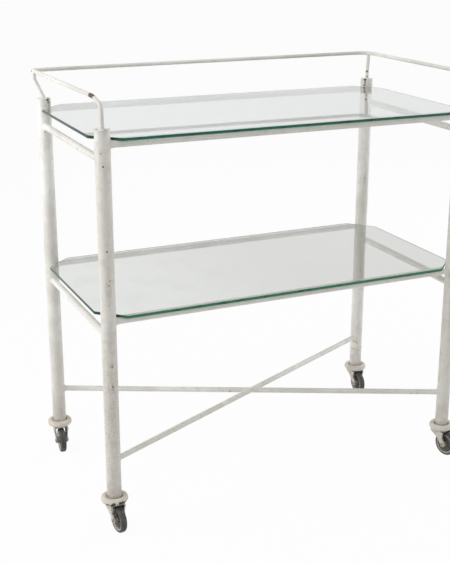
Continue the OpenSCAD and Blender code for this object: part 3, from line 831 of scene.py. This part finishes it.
def bend(before, corner, after, radius, count):  # points of a round bend between two straights
    u = (corner - before).normalized()
    v = (after - corner).normalized()
    angle = acos(max(-1.0, min(1.0, u.dot(v))))
    centre = corner + (v - u).normalized() * radius / cos(angle / 2)
    out = (corner - u * radius * tan(angle / 2) - centre) / radius
    angles = [angle * i / count for i in range(count + 1)]
    return [centre + (out * cos(turned) + u * sin(turned)) * radius for turned in angles]


def bentRod(name, points, bends, shape, replaced):
    path = [points[0]]
    for i in range(1, len(points) - 1):
        path += bend(points[i - 1], points[i], points[i + 1], bends[i], shape["bendSteps"])
    path.append(points[-1])
    fine = [path[0]]
    for a, b in zip(path, path[1:]):
        count = max(1, int((b - a).length / shape["ringSpacing"]))
        fine += [a.lerp(b, (i + 1) / count) for i in range(count)]
    curve = bpy.data.curves.new(name + "_path", "CURVE")
    curve.dimensions = "3D"
    curve.bevel_depth = shape["radius"]
    curve.bevel_resolution = 8
    curve.use_fill_caps = True
    spline = curve.splines.new("POLY")
    spline.points.add(len(fine) - 1)
    for point, place in zip(spline.points, fine):
        point.co = (*place, 1.0)
    holder = bpy.data.objects.new(name + "_path", curve)
    bpy.context.scene.collection.objects.link(holder)
    bpy.context.view_layer.update()
    bm = bmesh.new()
    bm.from_mesh(holder.to_mesh())
    holder.to_mesh_clear()
    bpy.data.objects.remove(holder)
    bmesh.ops.remove_doubles(bm, verts=bm.verts, dist=1e-6)
    roughen(bm, shape["wobble"], shape["wobbleScale"], len(name))
    finishPiece(name, bm, "frame", rodEnamel, replaced, crease=50.0)


def gallery(shape):
    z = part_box("gallery_rail")[1].z - shape["radius"] - shape["liftFront"]
    backLeft = Vector((-shape["out"], shape["back"], z))
    backRight = Vector((shape["out"], shape["back"], z + shape["lift"]))
    frontLeft = legPoint("front_left", z)
    frontRight = legPoint("front_right", z + shape["liftFront"])
    forward = (frontLeft - backLeft).normalized()
    seatZ = legTop - shape["seat"]
    # At the front left the rod first droops a little and then turns down sharply
    droop = frontLeft - forward * shape["sagStart"] - Vector((0, 0, shape["sagTop"]))
    points = [legPoint("front_left", seatZ), frontLeft - Vector((0, 0, shape["sagEnd"])), droop,
              backLeft, backRight, frontRight, legPoint("front_right", seatZ)]
    bends = [0, shape["sagBend"], shape["sagEase"], shape["leftCorner"], shape["rightCorner"],
             shape["frontBend"], 0]
    bentRod("gallery_rod", points, bends, shape, ["gallery_rail"])
    rightBend = bend(backLeft, backRight, frontRight, shape["rightCorner"], shape["bendSteps"])
    tops = {"left": backLeft + forward * shape["inset"], "right": rightBend[shape["rightTopStep"]]}
    for side, top in tops.items():
        leg = "back_" + side
        joggled = [top, top - Vector((0, 0, shape["drop"])), legPoint(leg, legTop + shape["aboveLeg"]),
                   legPoint(leg, seatZ)]
        bentRod("gallery_support_" + side + "_rod", joggled, [0, shape["joggle"], shape["joggle"], 0], shape,
                ["gallery_support_" + side])


print("gallery")
gallery(galleryShape)


# Legs and plugs keep their CAD shape with softer edges

legEdge = 0.0004
legParts = {
    "leg": ("_tube", "frame_paint", frameEnamel),
    "cap": ("_plug", "plug_paint", frameEnamel),
    "foot": ("_plug", "bare_steel", plainSteel),
}

print("legs")
for corner in corners:
    for part, (ending, slot, material) in legParts.items():
        node = part + "_" + corner
        finishPiece(node + ending, softened(node, legEdge), "frame", material, [node])


# Buffer rings: a round section that is cut off along the leg and stepped underneath

ringShape = {
    "radius": 0.0065,
    "out": 0.0201,
    "inside": 0.0147,
    "step": 0.0165,
    "under": 0.0003,
    "arcSteps": 22,
    "steps": 72,
    "seatDirtAndShade": 0.0022,
    "rough": 0.00035,
    "roughScale": 60.0,
    "grain": 0.00012,
    "grainScale": 260.0,
}


def bufferRing(corner, shape):
    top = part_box("buffer_" + corner)[1].z
    radius, out, inside, step = shape["radius"], shape["out"], shape["inside"], shape["step"]
    topAngle = 180 - degrees(acos((out - inside) / radius))
    underAngle = degrees(acos((out - step) / radius)) - 180
    section = arc((out, 0.0), radius, topAngle, underAngle, shape["arcSteps"])
    section += [(step, -shape["under"]), (inside, -shape["under"])]
    bm = spun(section, shape["steps"])
    seat = bm.verts.layers.float.new("seat")
    # the top inside next to the leg is marked for grime and painted shade
    for vert in bm.verts:
        gap = hypot(vert.co.x, vert.co.y) - inside
        vert[seat] = max(0.0, 1.0 - gap / shape["seatDirtAndShade"]) if vert.co.z > 0 else 0.0
    roughen(bm, shape["rough"], shape["roughScale"], legAt[corner].x * 9 + legAt[corner].y * 7)
    roughen(bm, shape["grain"], shape["grainScale"], legAt[corner].x * 5)
    bmesh.ops.translate(bm, vec=legPoint(corner, top - radius), verts=bm.verts)
    for vert in bm.verts:
        vert.co.z = min(vert.co.z, top)
    finishPiece("buffer_" + corner + "_ring", bm, "frame", rubberRing,
                ["buffer_" + corner], crease=60.0)


# Castors: tyre, wheel centre, riveted axle and bent fork, each spun or set on its own wheel's axle

def wheelPlace(corner):
    centre = middle("hub_" + corner)
    trail = Vector((centre.x - legAt[corner].x, centre.y - legAt[corner].y, 0.0)).normalized()
    return Matrix.Translation(centre) @ onAxle(Vector((trail.y, -trail.x, 0.0)))


tyreShape = {
    "width": 0.0126,
    "outer": 0.02675,
    "inner": 0.02175,
    "edge": 0.0003,
    "shoulder": 0.0040,
    "shoulderSteps": 10,
    "grooveHalf": 0.0005,
    "grooveFloor": 0.00035,
    "grooveDepth": 0.00012,
    "steps": 96,
}


def tyre(corner, place, shape):
    half, outer, inner = shape["width"] / 2, shape["outer"], shape["inner"]
    shoulder, edge, groove = shape["shoulder"], shape["edge"], outer - shape["grooveDepth"]
    section = [(inner, 0.0), (inner, half - edge), (inner + edge, half)]
    section += arc((outer - shoulder, half - shoulder), shoulder, 90, 0, shape["shoulderSteps"])
    section += [(outer, shape["grooveHalf"]), (groove, shape["grooveFloor"]), (groove, 0.0)]
    bm = spun(mirrored(section), shape["steps"])
    bmesh.ops.transform(bm, matrix=place, verts=bm.verts)
    finishPiece("tyre_" + corner + "_rubber", bm, "wheel_" + corner, tyreGrey,
                ["tyre_" + corner], crease=40.0)


wheelShape = {
    "rimHalf": 0.0057,
    "rimThick": 0.0020,
    "bossHalf": 0.0093,
    "bossRadius": 0.0065,
    "bore": 0.00305,
    "steps": 80,
    # rounded stretches of the section, as steps in radius and width from the corner where they lie
    "rimOuter": [(0.0, -0.0005), (-0.0002, -0.0001), (-0.0006, 0.0)],
    "rimInner": [(0.0004, 0.0), (0.0001, -0.0003), (0.0, -0.0008)],
    "webOuter": [(-0.0003, 0.0026), (-0.0007, 0.0018), (-0.0016, 0.00135), (-0.0026, 0.0012)],
    "webInner": [(0.0030, 0.0013), (0.0014, 0.0019), (0.0005, 0.0032), (0.0, 0.0050)],
    "bossOuter": [(-0.0001, -0.0005), (-0.0005, 0.0)],
    "bossInner": [(0.0004, 0.0), (0.0, -0.0004)],
    "grimeAndShadeHalf": 0.0045,  # grime and painted shade fill the recessed web up to this width and thin out on the boss
    "bossGrimeAndShade": 0.55,
}


def wheelCentre(corner, place, shape):
    inner, boss, bore = tyreShape["inner"], shape["bossRadius"], shape["bore"]
    wall = inner - shape["rimThick"]
    at = {
        "rimOuter": (inner, shape["rimHalf"]), "rimInner": (wall, shape["rimHalf"]),
        "webOuter": (wall, 0.0), "webInner": (boss, 0.0),
        "bossOuter": (boss, shape["bossHalf"]), "bossInner": (bore, shape["bossHalf"]),
    }
    section = [(inner, 0.0)]
    for curve, (radius, height) in at.items():
        section += [(radius + r, height + t) for r, t in shape[curve]]
    bm = spun(mirrored(section + [(bore, 0.0)]), shape["steps"])
    recessGrimeAndShade = bm.verts.layers.float.new("recessGrimeAndShade")
    for vert in bm.verts[:]:
        r = hypot(vert.co.x, vert.co.y)
        inWeb = r < wall - 0.0005 and abs(vert.co.z) < shape["grimeAndShadeHalf"]
        vert[recessGrimeAndShade] = 1.0 if inWeb else shape["bossGrimeAndShade"] if r < boss + 0.001 else 0.0
    bmesh.ops.transform(bm, matrix=place, verts=bm.verts)
    finishPiece("hub_" + corner + "_wheel", bm, "wheel_" + corner, hubMetal,
                ["hub_" + corner], crease=40.0)


axleShape = {
    "radius": 0.0030,
    "out": 0.0133,
    "headRadius": 0.0045,
    "headHeight": 0.0018,
    "dome": [(0.0, 1.0), (0.35, 0.96), (0.65, 0.78), (0.88, 0.45), (0.98, 0.15)],  # shares of the head
    "steps": 40,
}


def axleRivet(corner, place, shape):
    radius, head, out = shape["radius"], shape["headRadius"], shape["out"]
    half = [(head * r, out + shape["headHeight"] * t) for r, t in shape["dome"]]
    half += [(head, out), (radius, out), (radius, 0.0)]
    bm = spun(half + [(r, -t) for r, t in reversed(half[:-1])], shape["steps"], False)
    bmesh.ops.transform(bm, matrix=place, verts=bm.verts)
    finishPiece("axle_" + corner + "_rivet", bm, "castor_" + corner, plainSteel,
                ["axle_" + corner], crease=40.0)


forkShape = {"edge": 0.0006, "crease": 35.0, "wear": 0.0010}
turnedEdge = 0.0002  # on washers and pins


def forkStrip(corner, place, shape):
    bm = softened("fork_" + corner, shape["edge"], shape["crease"], shape["wear"])
    # marks the faces towards the wheel and under the crown, for grease and painted shade
    inner = bm.verts.layers.float.new("inner")
    bm.normal_update()
    back = place.inverted()
    for face in bm.faces:
        centre = back @ face.calc_center_median()
        facing = back.to_3x3() @ face.normal
        towardsWheel = facing.z * centre.z < -0.4 * abs(centre.z)
        underCrown = facing.x < -0.6 and centre.x > tyreShape["outer"]
        if towardsWheel or underCrown:
            for vert in face.verts:
                vert[inner] = 1.0
    finishPiece("fork_" + corner + "_strip", bm, "castor_" + corner, forkPaint,
                ["fork_" + corner], crease=35.0)


print("castors")
for corner in corners:
    place = wheelPlace(corner)
    bufferRing(corner, ringShape)
    tyre(corner, place, tyreShape)
    wheelCentre(corner, place, wheelShape)
    axleRivet(corner, place, axleShape)
    forkStrip(corner, place, forkShape)
    for part in ("washer", "pin"):
        node = part + "_" + corner
        turned = softened(node, turnedEdge)
        finishPiece(node + "_turned", turned, "castor_" + corner, plainSteel, [node])


# Lights, floor and camera

stageLook = {
    "floor": tone(0.86, 0.86, 0.86),
    "floorRough": 0.9,
    "floorHalf": 30.0,
    "floorWhite": 0.95,  # how far the floor is plain white to the camera
    "white": tone(1.0, 1.0, 1.0),
    "sky": tone(1.0, 0.995, 0.985),
    "skyLight": 0.47,
    "aim": (0.0, 0.0, 0.45),
}
lampLook = {
    "key": {"place": (-2.7, 0.4, 1.5), "size": 1.8, "power": 40.0},
    "back": {"place": (2.9, 0.6, 1.1), "size": 1.8, "power": 26.0},
    "fill": {"place": (2.3, -1.9, 1.0), "size": 2.0, "power": 8.0},
    "top": {"place": (-0.6, -0.8, 2.9), "size": 2.4, "power": 12.0},
}
cameraLook = {
    "place": (-0.9723, -2.00348, 1.1441),
    "yaw": 0.4582,
    "pitch": 0.3171,
    "roll": 0.0113,
    "lens": 69.88,
    "sensor": 36.0,
    "shiftX": -0.0619,
    "shiftY": -0.0081,
}


def seenDirectly(s):  # 1 for camera, glossy and transmission rays
    camera = s.node("ShaderNodeLightPath", output="Is Camera Ray")
    glossy = s.node("ShaderNodeLightPath", output="Is Glossy Ray")
    through = s.node("ShaderNodeLightPath", output="Is Transmission Ray")
    return camera.larger(glossy.larger(through))


def paleWorld(look):
    world = bpy.data.worlds.new("studio")
    bpy.context.scene.world = world
    s = Shader(world, "Background")
    s.set(Color=look["sky"], Strength=look["skyLight"])
    white = s.node("ShaderNodeBackground", None, {"Color": look["white"], "Strength": 1.0})
    s.swapSurface(white, seenDirectly(s), "World Output")


def paleFloor(look):
    bm = bmesh.new()
    bmesh.ops.create_grid(bm, x_segments=1, y_segments=1, size=look["floorHalf"])
    mesh = bpy.data.meshes.new("floor")
    bm.to_mesh(mesh)
    bm.free()
    floor = bpy.data.objects.new("floor", mesh)
    bpy.context.scene.collection.objects.link(floor)
    s = Shader(bpy.data.materials.new("paleFloor"))
    s.set(Base_Color=look["floor"], Roughness=look["floorRough"])
    white = s.node("ShaderNodeEmission", None, {"Color": look["white"], "Strength": 1.0})
    s.swapSurface(white, seenDirectly(s) * look["floorWhite"], "Material Output")
    mesh.materials.append(s.owner)


def areaLight(name, look, aim):
    light = bpy.data.lights.new(name, "AREA")
    light.shape = "DISK"
    light.size = look["size"]
    light.energy = look["power"]
    lamp = bpy.data.objects.new(name, light)
    bpy.context.scene.collection.objects.link(lamp)
    lamp.location = look["place"]
    lamp.rotation_euler = (Vector(aim) - Vector(look["place"])).to_track_quat("-Z", "Y").to_euler()


def addCamera(look):
    yaw, pitch, roll = look["yaw"], look["pitch"], look["roll"]
    ahead = Vector((sin(yaw) * cos(pitch), cos(yaw) * cos(pitch), -sin(pitch)))
    right = Vector((cos(yaw), -sin(yaw), 0.0))
    up = right.cross(ahead)
    tilted = right * cos(roll) + up * sin(roll)
    upright = up * cos(roll) - right * sin(roll)
    data = bpy.data.cameras.new("camera")
    data.sensor_fit = "VERTICAL"
    data.sensor_height = look["sensor"]
    data.lens = look["lens"]
    data.shift_x = look["shiftX"]
    data.shift_y = look["shiftY"]
    camera = bpy.data.objects.new("camera", data)
    bpy.context.scene.collection.objects.link(camera)
    turned = Matrix((tilted, upright, -ahead)).transposed().to_4x4()
    camera.matrix_world = Matrix.Translation(look["place"]) @ turned
    bpy.context.scene.camera = camera


print("lights, floor and camera")
paleWorld(stageLook)
paleFloor(stageLook)
for name, look in lampLook.items():
    areaLight(name, look, stageLook["aim"])
addCamera(cameraLook)
bpy.context.scene.view_settings.view_transform = "Standard"
